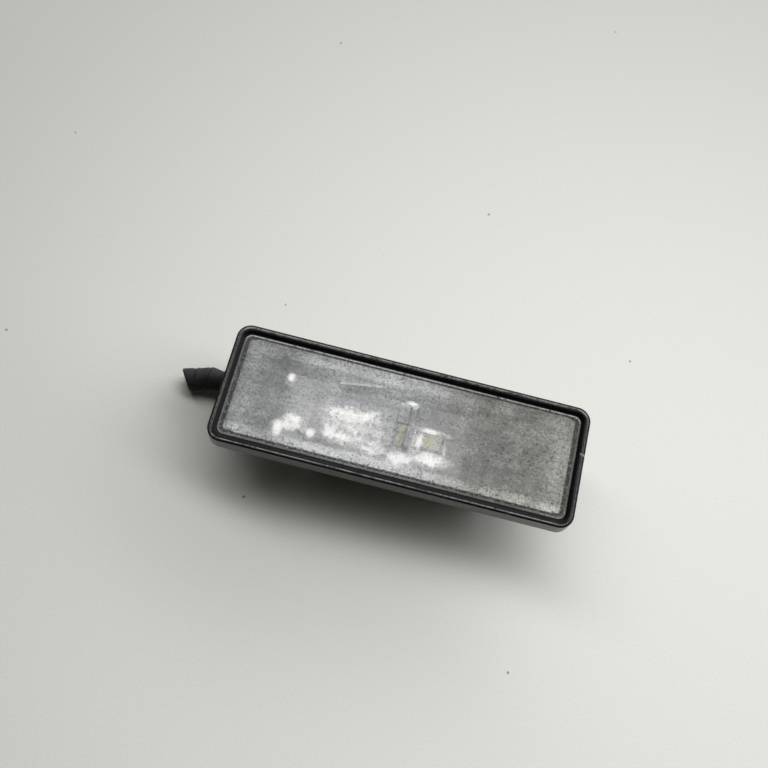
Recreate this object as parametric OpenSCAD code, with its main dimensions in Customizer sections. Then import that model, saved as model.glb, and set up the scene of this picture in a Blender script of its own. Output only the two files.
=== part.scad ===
// Number plate lamp with a light-emitting board, plug and taped lead
// X runs along the lamp, +Z out of the lens, the origin is under its middle on the surface that it lies on

/* [Frame] */
// Length of the visible frame
frame_l = 76; // [75:0.5:84]
// Width of the visible frame
frame_w = 26.4; // [26:0.2:32]
// Height of the frame's side wall
frame_h = 4; // [3.8:0.1:5]
// Outer corner radius of the frame
frame_r = 3; // [2.8:0.1:4]
// Rounding of the frame's outer top edge
edge_r = 0.3; // [0.2:0.05:0.4]
// Width of the rim's flat top on the short sides
rim_end = 0.6; // [0.6:0.05:0.8]
// Width of the rim's flat top on the long sides
rim_side = 0.65; // [0.6:0.05:0.8]
// Width of the sloped flank between the rim's top and the lens
flank_w = 1.1; // [1:0.05:1.2]
// Depth of the lens below the rim
lens_drop = 0.7; // [0.6:0.1:1]

/* [Lens] */
// Corner radius of the lens
lens_r = 1.6; // [1.4:0.1:2.2]
// Thickness of the lens
lens_t = 1.8; // [1.4:0.1:2.4]
// Width of the lens border on its short sides
border_end = 1.7; // [1.5:0.1:2]
// Width of the lens border on its long sides
border_long = 0.85; // [0.7:0.05:1]
// Height by which the clear field stands above the border
field_h = 0.15; // [0.1:0.05:0.3]
// Depth of the locating lip under the lens
lip_h = 0.3; // [0.2:0.05:0.5]
// Thickness of the locating lip
lip_t = 0.7; // [0.5:0.1:0.9]

/* [Tray] */
// Reach of the frame beyond the tray on the short sides
flange_end = 3; // [2.6:0.1:3.4]
// Reach of the frame beyond the tray on the long sides
flange_side = 2.2; // [2:0.05:2.4]
// Depth of the tray from the reflector's seat to its floor
tray_d = 4; // [3.8:0.1:6]
// General wall thickness of the housing
wall = 1.2; // [1:0.1:1.4]
// Draft of the tray's outer wall over its height
draft = 0.4; // [0.1:0.1:0.4]
// Height of the reflector's rim
rim_t = 0.8; // [0.6:0.1:1.2]

/* [Rear box and connector] */
// Length of the rear box that holds the tall components
box_l = 25.2; // [22:0.2:27]
// Place of the rear box's left end along the lamp
box_x0 = -4.2; // [-5:0.2:-3.6]
// Distance between the sides of the rear box and of the tray
box_side = 2.5; // [2:0.1:3]
// Length of the connector tower
tower_l = 12; // [11.6:0.2:13]
// Wall thickness beside the socket
socket_wall = 1.8; // [1.5:0.1:2.2]
// Inner width of the socket
socket_w = 10.4; // [10:0.2:11]
// Inner height of the socket
socket_h = 5.6; // [5.4:0.1:6.4]
// Thickness of the floor over the socket
floor_t = 1.6; // [1.4:0.1:2]
// Corner radius of the tower and the rear box
tower_r = 1.4; // [1.2:0.1:1.8]
// Rounding of their back edges
back_r = 0.6; // [0.4:0.1:0.8]

/* [Board] */
// Reach of the circuit board beyond the well of the rear box
board_left = 13; // [12:0.2:14]
// Distance between the board's long sides and the tray's walls
board_side = 1.2; // [1:0.1:1.4]
// Thickness of the circuit board
board_t = 1; // [0.8:0.1:1.6]
// Gap between the board and the reflector
board_gap = 0.5; // [0.45:0.05:0.6]
// Distance between the two contact pins
pin_pitch = 3.8; // [3.6:0.1:4]
// Width of a contact pin's blade
pin_w = 1.2; // [1:0.1:1.3]
// Thickness of a contact pin's blade
pin_t = 0.6; // [0.5:0.1:0.7]
// Radius of the moulded studs that hold the board
stud_r = 0.9; // [0.7:0.1:1.1]

/* [Light sources] */
// Length of the main light source
led_l = 5.6; // [5:0.1:5.8]
// Width of the main light source
led_w = 3; // [2.8:0.1:3.4]
// Height of both light sources
led_h = 0.9; // [0.7:0.05:1]
// Length of the side light source, across the lamp
side_l = 4.9; // [4:0.1:5.2]
// Width of the side light source
side_w = 1.6; // [1.4:0.1:1.8]
// Wall of a light source's package round its phosphor
led_wall = 0.4; // [0.3:0.05:0.5]

/* [Reflector] */
// Thickness of the reflector's floor and walls
refl_t = 0.7; // [0.6:0.1:0.8]
// Height of the raised floors at both ends
end_h = 1.1; // [0.8:0.1:1.4]
// Height of the dividing wall
divider_h = 2.2; // [1.8:0.1:2.3]
// Thickness of the dividing wall
divider_t = 1; // [0.8:0.1:1.2]
// Size of one facet of the left chamber
facet = 2.5; // [2.2:0.1:2.8]
// Radius of the larger domes
dome_r = 1.2; // [1:0.1:1.4]

/* [Fitting] */
// Thickness of the gasket under the frame
gasket_t = 1.2; // [0.8:0.1:1.6]
// Width of the gasket
gasket_w = 1.5; // [1.2:0.1:1.6]
// Thickness of the panel that the lamp is made for
panel_t = 1.2; // [0.8:0.1:1.6]
// Reach of the fixed hook beyond the tray
hook_l = 2.4; // [2:0.1:2.6]
// Width of the hook
hook_w = 10; // [8:0.5:14]
// Width of the spring clip
clip_w = 8; // [6:0.5:10]
// Thickness of the clip's steel
clip_t = 0.4; // [0.3:0.05:0.5]

/* [Plug and lead] */
// Clearance between the plug and the socket
plug_gap = 0.2; // [0.15:0.05:0.25]
// Length of the plug's collar behind the socket
collar_l = 1.8; // [1.4:0.1:2.2]
// Diameter of the taped lead
lead_d = 4.6; // [4.4:0.1:5]
// Diameter of one wire
wire_d = 1.5; // [1.3:0.1:1.7]
// Slant of the lead's cut end, from its middle to its edge
lead_cut = 0.75; // [0:0.05:1]

/* [Hidden] */
$fn = 48;
fit = 0.05;
sink = 0.1;

// Heights, from the back upwards
z_floor = wall + socket_h + floor_t;
z_tray = z_floor - wall;
z_board = z_floor + board_t;
z_refl = z_board + board_gap;
z_bowl = z_refl + refl_t;
z_step = z_floor + tray_d;
z_lens = z_step + rim_t + lip_h;
z_face = z_lens + lens_t;
z_top = z_face + lens_drop;
z_flange = z_top - frame_h;

// Lens and the slope round it
lens_gap = 0.1;
lens_l = frame_l - 2 * (rim_end + flank_w + lens_gap);
lens_w = frame_w - 2 * (rim_side + flank_w + lens_gap);
flank_low = flank_w / 2;
flank_low_h = 0.5;

// Tray and the openings under the lens
tray_l = frame_l - 2 * flange_end;
tray_w = frame_w - 2 * flange_side;
clear_l = lens_l - 2 * border_end;
clear_w = lens_w - 2 * border_long;
cavity_l = tray_l - 2 * draft - 2 * wall;
cavity_w = tray_w - 2 * draft - 2 * wall;
lip_gap = 0.2;

// Rear box and connector tower
box_x1 = box_x0 + box_l;
box_w = tray_w - 2 * box_side;
tower_x0 = box_x0 - tower_l + tower_r;
tower_w = socket_w + 2 * socket_wall;
socket_r = 0.6;
pocket_x0 = box_x0 + wall;
pocket_l = box_l - 2 * wall;
pocket_w = box_w - 2 * wall;
socket_x1 = box_x0 - wall;
socket_z = wall + socket_h / 2;

// Board, pins and studs
board_rest = 0.8;
board_x0 = pocket_x0 - board_left;
board_x1 = box_x1 - wall + board_rest;
board_l = board_x1 - board_x0;
board_w = cavity_w - 2 * board_side;
board_r = 1;
pad_r = 1.1;
pad_top_r = 0.8;
pin_inset = 0.8;
pin_x = pocket_x0 + pin_inset;
pin_reach = 5.4;
pin_tip_x = socket_x1 - pin_reach;
pin_point = 0.6;
pin_proud = 0.3;
stud_inset = 2.6;
stud_x = board_x0 + stud_inset;
stud_y = board_w / 2 - stud_inset;

// Light sources
led_x = 6.3;
led_y = -0.4;
side_x = 0.2;
side_y = -0.5;
cup_d = led_h / 2;

// Components on the board's other side, in a row from the pins
chip_l = 3.2;
chip_w = 1.6;
chip_t = 0.6;
chip_cap = 0.5;
chip_gap = 0.8;
chip_ahead = 3;
chip_x = pin_x + chip_ahead;
can_ahead = 4.6;
can_x = chip_x + can_ahead;
diode_ahead = 5.6;
diode_x = can_x + diode_ahead;
diode_l = 4.2;
diode_w = 2.6;
diode_h = 2;
tab_l = 0.8;
tab_w = 1.4;
tab_t = 0.6;
can_r = 2;
can_h = 4.4;
can_foot_t = 0.8;
can_foot_w = 4.3;

// Reflector
well_gap = 0.3;
well_wall = 0.2;
post_l = 2;
divider_x = side_x + side_w / 2 + well_gap + well_wall;
divider_y0 = side_y - side_l / 2 - well_gap;
refl_gap = 0.2;
tub_lean = 2;
tub_slope = tub_lean / (z_step - z_refl);
tub_l = cavity_l - 2 * refl_gap - 2 * tub_lean;
tub_w = cavity_w - 2 * refl_gap - 2 * tub_lean;
tub_r = 1.2;
divider_inset = 0.9;
divider_y1 = tub_w / 2 - divider_inset;
ramp_inset = 4.7;
ramp_x0 = ramp_inset - tub_l / 2;
ramp_ahead = 7.7;
ramp_x1 = led_x + ramp_ahead;
ramp_run = 1.8;
facet_cols = 6;
facet_rows = 4;
facet_gap = 0.6;
facet_x0 = side_x - side_w / 2 - well_gap - facet_gap - facet_cols * facet;
facet_inset = 1;
facet_y0 = facet_inset - tub_w / 2;
baffle_h = 1.9;
baffle_x0 = side_x - 14.8;
baffle_x1 = side_x - 5.2;
baffle_y0 = tub_w / 2 - 0.7;
baffle_y1 = tub_w / 2 + 0.9;
dome_x0 = 6.1 - tub_l / 2;
dome_x1 = 12.8 - tub_l / 2;
dome_x2 = 9.1 - tub_l / 2;
dome_x3 = 6.2 - tub_l / 2;
dome_y0 = 1.6 - tub_w / 2;
dome_y2 = 3.6 - tub_w / 2;
dome_y3 = tub_w / 2 - 1.8;
ridge_w = 1.4;
ridge_h = 0.7;

// Vent, clip and hook
vent_inset = 8;
vent_x = vent_inset - tray_l / 2;
vent_r = 1;
patch_r = 2.2;
patch_t = 0.2;
guard_w = 0.7;
guard_h = 0.7;
hook_t = 1.4;
hook_bevel = 1;
gasket_gap = 0.1;
hook_z = z_flange - gasket_t - panel_t;
clip_x = tray_l / 2;
clip_bend = 0.5;
clip_z0 = z_tray;
clip_z1 = z_flange - gasket_t;
snap_h = 0.6;
keeper_t = 0.6;
keeper_z = z_tray + 1.5;
keeper_h = 0.9;

// Plug
plug_w = socket_w - 2 * plug_gap;
plug_h = socket_h - 2 * plug_gap;
plug_x0 = tower_x0;
plug_x1 = socket_x1 - plug_gap;
plug_rear = plug_x0 - collar_l;
seal_inset = 3.4;
seal_x = plug_x1 - seal_inset;
seal_l = 1.6;
seal_groove = 0.5;
seal_r = 0.3;
latch_inset = 1.6;
latch_x = plug_x0 + latch_inset;
latch_l = 2;
latch_w = 3;
latch_ramp = 0.5;
latch_z = 0.4;
key_l = 4.6;
key_w = 1.2;
key_h = 0.5;
key_y = 2.6;
collar_w = plug_w + 1.2;
collar_h = plug_h + 0.9;
collar_r = 0.8;
plug_r = 0.5;
contact_s = 2.3;
contact_l = 6.4;
contact_inset = 0.6;
contact_x1 = plug_x1 - contact_inset;
contact_x0 = contact_x1 - contact_l;
wire_seal_r = 1.35;
wire_seal_l = 3.4;

// Route of the lead from the plug to its cut end, chosen by hand
lead_path = [
    [0, 0, 4], [-2, 0, 4], [-4, 0.2, 3.9], [-6, 0.5, 3.7], [-8, 1, 3.4],
    [-10.5, 1.7, 3.1], [-13, 2.4, 2.8], [-15.5, 3.1, 2.6], [-18, 3.7, 2.5], [-20.5, 4.1, 2.4],
    [-23, 4.3, 2.4], [-25, 4.2, 2.4], [-27, 3.9, 2.4], [-29, 3.4, 2.4], [-31.4, 2.7, 2.4]
];
lead_sides = 10;

// Flat rectangle with round corners
module rounded(l, w, r) {
    square([l - 2 * r, w], center = true);
    square([l, w - 2 * r], center = true);
    for (x = [-1, 1], y = [-1, 1])
        translate([x * (l / 2 - r), y * (w / 2 - r)]) circle(r);
}

// Plate whose corners are round and whose top edge is rounded by e
module soft_plate(l, w, r, h, e) {
    for (x = [-1, 1], y = [-1, 1])
        translate([x * (l / 2 - r), y * (w / 2 - r), 0])
            rotate_extrude() intersection() {
                edge_section(2 * r, h, e);
                square([r, h]);
            }
    rotate([90, 0, 90]) linear_extrude(l - 2 * r, center = true) edge_section(w, h, e);
    rotate([90, 0, 0]) linear_extrude(w - 2 * r, center = true) edge_section(l, h, e);
}

// Cross-section of such a plate, standing on its base
module edge_section(w, h, e) {
    translate([-w / 2, 0]) square([w, h - e]);
    translate([-w / 2 + e, 0]) square([w - 2 * e, h]);
    for (x = [-1, 1]) translate([x * (w / 2 - e), h - e]) circle(e, $fn = 24);
}

// Block with round corners whose sides lean out by grow on the way up
module flared(l, w, r, grow, h) {
    for (x = [-1, 1], y = [-1, 1])
        translate([x * (l / 2 - r), y * (w / 2 - r), 0]) cylinder(h = h, r1 = r, r2 = r + grow);
    rotate([90, 0, 90]) linear_extrude(l - 2 * r, center = true) lean_section(w, grow, h);
    rotate([90, 0, 0]) linear_extrude(w - 2 * r, center = true) lean_section(l, grow, h);
}

// Cross-section of such a block
module lean_section(w, grow, h) {
    polygon([[-w / 2, 0], [w / 2, 0], [w / 2 + grow, h], [-w / 2 - grow, h]]);
}

// Stretches a profile drawn in X and Z along Y
module across(w) {
    rotate([90, 0, 0]) linear_extrude(w, center = true) children();
}

module housing() {
    color("#1c1d1f") {
        difference() {
            union() {
                translate([0, 0, z_flange]) soft_plate(frame_l, frame_w, frame_r, frame_h, edge_r);
                tray_block();
                rear_block();
                clip_seat();
                vent_guard();
            }
            lens_recess();
            translate([0, 0, z_floor]) linear_extrude(z_top) rounded(cavity_l, cavity_w, tower_r);
            translate([0, 0, z_step]) linear_extrude(z_top) rounded(clear_l, clear_w, tower_r);
            translate([pocket_x0 + pocket_l / 2, 0, wall])
                linear_extrude(z_top) rounded(pocket_l, pocket_w, tower_r);
            socket();
            translate([vent_x, 0, 0]) cylinder(h = z_top, r = vent_r);
        }
        hook();
        keeper();
        board_studs();
        box_ribs();
    }
}

// Outside of the tray, which widens by its draft up to the flange and reaches a little into it
module tray_block() {
    slope = draft / (z_flange - z_tray);
    translate([0, 0, z_tray])
        flared(tray_l - 2 * draft, tray_w - 2 * draft, tower_r,
            draft + slope * sink, z_flange - z_tray + sink);
}

// Recess that takes the lens, with the flank above it, steep at first and then flatter
module lens_recess() {
    seat_l = lens_l + 2 * lens_gap;
    seat_w = lens_w + 2 * lens_gap;
    seat_r = lens_r + lens_gap;
    translate([0, 0, z_lens]) linear_extrude(z_top) rounded(seat_l, seat_w, seat_r);
    low_slope = flank_low / flank_low_h;
    top_h = lens_drop - flank_low_h;
    top_slope = (flank_w - flank_low) / top_h;
    translate([0, 0, z_face])
        flared(seat_l, seat_w, seat_r, flank_low + low_slope * sink, flank_low_h + sink);
    translate([0, 0, z_face + flank_low_h])
        flared(seat_l + 2 * flank_low, seat_w + 2 * flank_low, seat_r + flank_low,
            top_slope * (top_h + sink), top_h + sink);
}

// Rear box and connector tower, rounded along their back edges
module rear_block() {
    translate([box_x0 + box_l / 2, 0, z_floor - sink]) mirror([0, 0, 1])
        soft_plate(box_l, box_w, tower_r, z_floor - sink, back_r);
    translate([tower_x0 + (tower_l + tower_r) / 2, 0, z_floor - sink]) mirror([0, 0, 1])
        soft_plate(tower_l + tower_r, tower_w, tower_r, z_floor - sink, back_r);
}

// Socket for the plug, with the groove for its key, the window for its latch and the slots for the pins
module socket() {
    translate([tower_x0 - sink, 0, socket_z]) rotate([90, 0, 90])
        linear_extrude(socket_x1 - tower_x0 + sink) rounded(socket_w, socket_h, socket_r);
    translate([tower_x0 - sink, key_y - key_w / 2 - plug_gap, socket_z])
        cube([key_l + plug_gap + sink, key_w + 2 * plug_gap, socket_h / 2 + key_h]);
    translate([latch_x - fit, -latch_w / 2 - fit, -sink])
        cube([latch_l + 2 * fit, latch_w + 2 * fit, wall + 2 * sink]);
    for (y = [-1, 1])
        translate([socket_x1 - sink, y * pin_pitch / 2 - pin_w / 2 - fit, socket_z - pin_t / 2 - fit])
            cube([pocket_x0 - socket_x1 + 2 * sink, pin_w + 2 * fit, pin_t + 2 * fit]);
}

// Flat seat for the spring clip on the right end of the tray
module clip_seat() {
    depth = draft + wall / 2;
    translate([clip_x - depth, -clip_w / 2 - wall, z_tray])
        cube([depth, clip_w + 2 * wall, z_flange - z_tray + sink]);
}

// Bar that holds the clip's inner leg against its seat
module keeper() {
    bar_x = clip_x + clip_t + fit;
    translate([bar_x, -clip_w / 2 - wall, keeper_z]) cube([keeper_t, clip_w + 2 * wall, keeper_h]);
    for (y = [-1, 1])
        translate([clip_x - sink, y * (clip_w / 2 + (wall + fit) / 2) - (wall - fit) / 2, keeper_z])
            cube([bar_x - clip_x + keeper_t + sink, wall - fit, keeper_h]);
}

// Fixed hook on the left end, which goes behind the panel first
module hook() {
    x0 = -tray_l / 2 + draft + wall / 2;
    tip = -tray_l / 2 - hook_l;
    across(hook_w)
        polygon([[x0, hook_z - hook_t], [tip + hook_bevel, hook_z - hook_t], [tip, hook_z - hook_t / 2],
            [tip, hook_z], [x0, hook_z]]);
    for (y = [-1, 1]) translate([0, y * hook_w / 3, 0])
        across(wall)
            polygon([[x0, z_tray], [-tray_l / 2, z_tray], [tip + hook_bevel, hook_z - hook_t],
                [tip + hook_bevel, hook_z - hook_t + sink], [x0, hook_z - hook_t + sink]]);
}

// Studs that pass through the board, with heads formed over it
module board_studs() {
    head_t = 0.3;
    for (y = [-1, 1]) translate([stud_x, y * stud_y, z_floor - sink]) {
        cylinder(h = board_t + head_t + sink, r = stud_r);
        translate([0, 0, board_t + sink]) cylinder(h = head_t, r1 = stud_r + 0.5, r2 = stud_r + 0.2);
    }
}

// Ring that guards the vent on the tray's floor
module vent_guard() {
    ring_r = patch_r + 0.3;
    translate([vent_x, 0, z_tray - guard_h]) difference() {
        cylinder(h = guard_h + sink, r = ring_r + guard_w);
        translate([0, 0, -sink]) cylinder(h = guard_h + sink, r = ring_r);
    }
}

// Ribs between the rear box and the tray's floor
module box_ribs() {
    rib_h = z_tray / 2;
    for (y = [-1, 1]) translate([0, y * box_w / 4, 0])
        across(wall)
            polygon([[box_x1 - sink, z_tray + sink], [box_x1 - sink, z_tray - rib_h],
                [box_x1 + rib_h, z_tray], [box_x1 + rib_h, z_tray + sink]]);
}

module lens() {
    color("#c4ccd0") {
        difference() {
            union() {
                translate([0, 0, z_lens]) linear_extrude(lens_t) rounded(lens_l, lens_w, lens_r);
                translate([0, 0, z_face - sink]) linear_extrude(field_h + sink)
                    rounded(clear_l, clear_w, lens_r);
                translate([0, 0, z_lens - lip_h]) linear_extrude(lip_h + sink)
                    rounded(clear_l - 2 * lip_gap, clear_w - 2 * lip_gap, tower_r - lip_gap);
            }
            translate([0, 0, z_lens - lip_h - sink]) linear_extrude(lip_h + sink)
                rounded(clear_l - 2 * (lip_gap + lip_t), clear_w - 2 * (lip_gap + lip_t), tower_r / 2);
        }
    }
}

module reflector() {
    color("#d4d8da") {
        difference() {
            union() {
                translate([0, 0, z_step]) linear_extrude(rim_t)
                    rounded(clear_l - 2 * refl_gap, clear_w - 2 * refl_gap, tower_r - refl_gap);
                tub();
            }
            bowl();
            led_wells();
        }
        divider();
        intersection() {
            tub();
            union() {
                facets();
                domes();
                far_baffle();
            }
        }
    }
}

// Outside of the reflector below its rim
module tub() {
    over = rim_t / 2;
    translate([0, 0, z_refl])
        flared(tub_l, tub_w, tub_r, tub_lean + tub_slope * over, z_step - z_refl + over);
}

// Hollow of the reflector, with a raised floor at each end
module bowl() {
    depth = z_step + rim_t - z_bowl + sink;
    inset = tub_slope * refl_t - 1.3 * refl_t;
    difference() {
        translate([0, 0, z_bowl])
            flared(tub_l + 2 * inset, tub_w + 2 * inset, tub_r + inset, tub_slope * depth, depth);
        across(frame_w)
            polygon([[-frame_l, z_bowl - 1], [-frame_l, z_bowl + end_h],
                [ramp_x0 - ramp_run, z_bowl + end_h], [ramp_x0, z_bowl], [ramp_x0, z_bowl - 1]]);
        across(frame_w)
            polygon([[ramp_x1, z_bowl - 1], [ramp_x1, z_bowl], [ramp_x1 + ramp_run, z_bowl + end_h],
                [frame_l, z_bowl + end_h], [frame_l, z_bowl - 1]]);
    }
}

// Windows in the floor through which the light sources shine
module led_wells() {
    for (s = [[led_x, led_y, led_l, led_w], [side_x, side_y, side_w, side_l]])
        translate([s[0], s[1], z_refl - sink])
            linear_extrude(refl_t + 2 * sink)
                square([s[2] + 2 * well_gap, s[3] + 2 * well_gap], center = true);
}

// Dividing wall between the chambers, with a post at its far end
module divider() {
    translate([divider_x, divider_y0, z_bowl - sink])
        cube([divider_t, divider_y1 - divider_y0, divider_h + sink]);
    translate([divider_x + divider_t / 2 - post_l / 2, divider_y1 - post_l / 2, z_bowl - sink])
        cube([post_l, post_l / 2, divider_h + sink]);
}

// Small wedges that spread the light in the left chamber
module facets() {
    for (i = [0:facet_cols - 1], j = [0:facet_rows - 1]) {
        low = 0.25 + 0.1 * ((i + j) % 2);
        high = 0.75 + 0.15 * ((i + 2 * j) % 3);
        flip = (i + j) % 2;
        translate([facet_x0 + i * facet, facet_y0 + (j + 0.5) * facet, z_bowl - sink])
            across(facet)
                polygon([[0, 0], [facet, 0], [facet, sink + (flip == 0 ? low : high)],
                    [0, sink + (flip == 0 ? high : low)]]);
    }
}

// Slanted ledge along the far side of the left chamber
module far_baffle() {
    translate([0, 0, z_bowl - sink]) linear_extrude(baffle_h + sink)
        polygon([[baffle_x0, frame_w / 2], [baffle_x0, baffle_y0], [baffle_x1, baffle_y1],
            [baffle_x1, frame_w / 2]]);
}

// Domes at the left end of the left chamber, the near three joined by a bent ridge
module domes() {
    ridge([dome_x0, dome_y0], [dome_x2, dome_y2]);
    ridge([dome_x2, dome_y2], [dome_x1, dome_y0]);
    for (p = [[dome_x0, dome_y0, dome_r], [dome_x1, dome_y0, dome_r], [dome_x2, dome_y2, dome_r],
        [dome_x3, dome_y3, 0.8 * dome_r]])
        translate([p[0], p[1], z_bowl - sink])
            rotate_extrude() intersection() {
                circle(p[2]);
                square(p[2]);
            }
}

// Straight ridge on the reflector's floor from one place to another
module ridge(from, to) {
    run = to - from;
    translate([from[0], from[1], z_bowl - sink]) rotate([0, 0, atan2(run[1], run[0])])
        translate([0, -ridge_w / 2, 0]) cube([norm(run), ridge_w, ridge_h + sink]);
}

module circuit_board() {
    hole = stud_r + fit;
    color("#e6e8e4") difference() {
        translate([board_x0 + board_l / 2, 0, z_floor]) linear_extrude(board_t)
            rounded(board_l, board_w, board_r);
        for (y = [-1, 1]) translate([stud_x, y * stud_y, z_floor - sink])
            cylinder(h = board_t + 2 * sink, r = hole);
        for (y = [-1, 1]) translate([pin_x, y * pin_pitch / 2, z_floor - sink])
            linear_extrude(board_t + 2 * sink) square([pin_t + 2 * fit, pin_w + 2 * fit], center = true);
    }
}

// Package of a light source, with the cup that its phosphor fills
module led_package(x, y, l, w) {
    color("#f4f4ee") translate([x, y, z_board]) difference() {
        linear_extrude(led_h) square([l, w], center = true);
        translate([0, 0, led_h - cup_d]) linear_extrude(led_h)
            square([l - 2 * led_wall, w - 2 * led_wall], center = true);
    }
}

module led_phosphor(x, y, l, w) {
    color("#ece58a") translate([x, y, z_board + led_h - cup_d]) linear_extrude(cup_d - fit)
        square([l - 2 * led_wall - fit, w - 2 * led_wall - fit], center = true);
}

module led_main_package() {
    led_package(led_x, led_y, led_l, led_w);
}

module led_main_phosphor() {
    led_phosphor(led_x, led_y, led_l, led_w);
}

module led_side_package() {
    led_package(side_x, side_y, side_w, side_l);
}

module led_side_phosphor() {
    led_phosphor(side_x, side_y, side_w, side_l);
}

// Chip resistor under the board, in three places
module resistor(i) {
    translate([chip_x, (i - 2) * (chip_w + chip_gap), z_floor - chip_t]) {
        color("#202226") linear_extrude(chip_t - 2 * fit)
            square([chip_l - 2 * chip_cap, chip_w - 2 * fit], center = true);
        color("#c9cbcc") for (x = [-1, 1])
            translate([x * (chip_l - chip_cap) / 2, 0, 0]) linear_extrude(chip_t)
                square([chip_cap + 2 * fit, chip_w], center = true);
    }
}

module resistor_1() {
    resistor(1);
}

module resistor_2() {
    resistor(2);
}

module resistor_3() {
    resistor(3);
}

// Moulded diode with two bent tabs under the board
module protection_diode() {
    lean = 0.2;
    standoff = 0.15;
    translate([diode_x, 0, z_floor - diode_h]) {
        color("#1f2022") flared(diode_l - 2 * lean, diode_w - 2 * lean, lean, lean, diode_h - standoff);
        color("#c9cbcc") for (x = [-1, 1])
            translate([x * (diode_l / 2 + standoff), 0, diode_h - tab_t]) linear_extrude(tab_t)
                square([tab_l, tab_w], center = true);
    }
}

// Can capacitor that hangs into the rear box
module capacitor() {
    translate([can_x, 0, z_floor]) mirror([0, 0, 1]) {
        color("#1f2022") linear_extrude(can_foot_t) square([can_foot_w, can_foot_w], center = true);
        color("#c9cbcc") translate([0, 0, can_foot_t]) cylinder(h = can_h - can_foot_t, r = can_r);
    }
}

// Blade that runs from the socket up through the board
module pin(side) {
    foot = pin_x + pin_t / 2;
    top = z_board + pin_proud;
    color("#c2a25a") translate([0, side * pin_pitch / 2, 0]) across(pin_w)
        polygon([[pin_tip_x, socket_z - pin_t / 6], [pin_tip_x + pin_point, socket_z - pin_t / 2],
            [foot - pin_t, socket_z - pin_t / 2], [foot, socket_z + pin_t / 2], [foot, top],
            [foot - pin_t, top], [foot - pin_t, socket_z + pin_t / 2],
            [pin_tip_x + pin_point, socket_z + pin_t / 2], [pin_tip_x, socket_z + pin_t / 6]]);
}

module pin_plus() {
    pin(1);
}

module pin_minus() {
    pin(-1);
}

// Solder that joins a pin to the board's pad
module solder(side) {
    color("#d5d7d6") translate([pin_x, side * pin_pitch / 2, z_board]) difference() {
        cylinder(h = pin_proud, r1 = pad_r, r2 = pad_top_r);
        translate([0, 0, -sink]) linear_extrude(pin_proud + 2 * sink)
            square([pin_t + fit, pin_w + fit], center = true);
    }
}

module solder_plus() {
    solder(1);
}

module solder_minus() {
    solder(-1);
}

// Foam ring that seals the frame against the panel
module gasket() {
    in_l = tray_l + 2 * gasket_gap;
    in_w = tray_w + 2 * gasket_gap;
    color("#2a2a2c") translate([0, 0, z_flange - gasket_t]) linear_extrude(gasket_t) difference() {
        rounded(in_l + 2 * gasket_w, in_w + 2 * gasket_w, tower_r + gasket_w);
        rounded(in_l, in_w, tower_r);
    }
}

// Steel leaf that snaps behind the panel's right edge
module spring_clip() {
    mid = clip_x + clip_t + clip_bend;
    out = mid + clip_bend;
    bend_r = clip_bend + clip_t;
    tip_z = z_flange - gasket_t - panel_t;
    color("#b9bcc0") across(clip_w) {
        translate([clip_x, clip_z0]) square([clip_t, clip_z1 - clip_z0]);
        translate([mid, clip_z0]) intersection() {
            difference() {
                circle(bend_r);
                circle(clip_bend);
            }
            translate([-2 * bend_r, -2 * bend_r]) square([4 * bend_r, 2 * bend_r]);
        }
        polygon([[out, clip_z0], [out + clip_t, clip_z0], [out + 2 * clip_t, tip_z - snap_h],
            [out + clip_t, tip_z + snap_h / 2], [out + 0.6 * clip_t, tip_z + snap_h / 6],
            [out + clip_t, tip_z - snap_h]]);
    }
}

// Breathing patch stuck over the vent
module vent_membrane() {
    color("#dadcdc") translate([vent_x, 0, z_tray - patch_t]) cylinder(h = patch_t, r = patch_r);
}

module plug_body() {
    color("#2b2c2e") difference() {
        union() {
            translate([plug_x0 - sink, 0, socket_z]) rotate([90, 0, 90])
                linear_extrude(plug_x1 - plug_x0 + sink) rounded(plug_w, plug_h, plug_r);
            translate([plug_rear, 0, socket_z]) rotate([90, 0, 90])
                linear_extrude(collar_l - fit) rounded(collar_w, collar_h, collar_r);
            translate([plug_x0 - fit, key_y - key_w / 2, socket_z])
                cube([key_l + fit, key_w, plug_h / 2 + key_h]);
            translate([latch_x, 0, 0]) across(latch_w)
                polygon([[0, wall / 2 + sink], [latch_ramp, latch_z], [latch_l, wall + plug_gap],
                    [latch_l, wall + plug_gap + sink], [0, wall + plug_gap + sink]]);
        }
        translate([seal_x, 0, socket_z]) rotate([90, 0, 90]) linear_extrude(seal_l) difference() {
            square([socket_w, socket_h], center = true);
            rounded(plug_w - 2 * seal_groove, plug_h - 2 * seal_groove, seal_r);
        }
        for (y = [-1, 1]) translate([0, y * pin_pitch / 2, socket_z]) {
            translate([contact_x0 - fit, -contact_s / 2 - fit, -contact_s / 2 - fit])
                cube([plug_x1 - contact_x0 + sink, contact_s + 2 * fit, contact_s + 2 * fit]);
            translate([plug_rear - sink, 0, 0]) rotate([0, 90, 0])
                cylinder(h = contact_x0 - plug_rear + 2 * sink, r = wire_seal_r + fit);
        }
    }
}

// Rubber ring in the plug's groove, pressed against the socket's wall
module plug_seal() {
    color("#b5552c") translate([seal_x + fit, 0, socket_z]) rotate([90, 0, 90])
        linear_extrude(seal_l - 2 * fit) difference() {
            rounded(socket_w - fit, socket_h - fit, socket_r);
            rounded(plug_w - 2 * seal_groove + fit, plug_h - 2 * seal_groove + fit, seal_r);
        }
}

// Spring contact that takes a pin at its front and a wire at its rear
module contact(side) {
    color("#c2a25a") translate([contact_x0, side * pin_pitch / 2, socket_z]) difference() {
        translate([0, -contact_s / 2, -contact_s / 2]) cube([contact_l, contact_s, contact_s]);
        translate([pin_tip_x - plug_gap - contact_x0, -pin_w / 2 - fit, -pin_t / 2 - fit])
            cube([contact_l, pin_w + 2 * fit, pin_t + 2 * fit]);
    }
}

module contact_plus() {
    contact(1);
}

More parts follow.
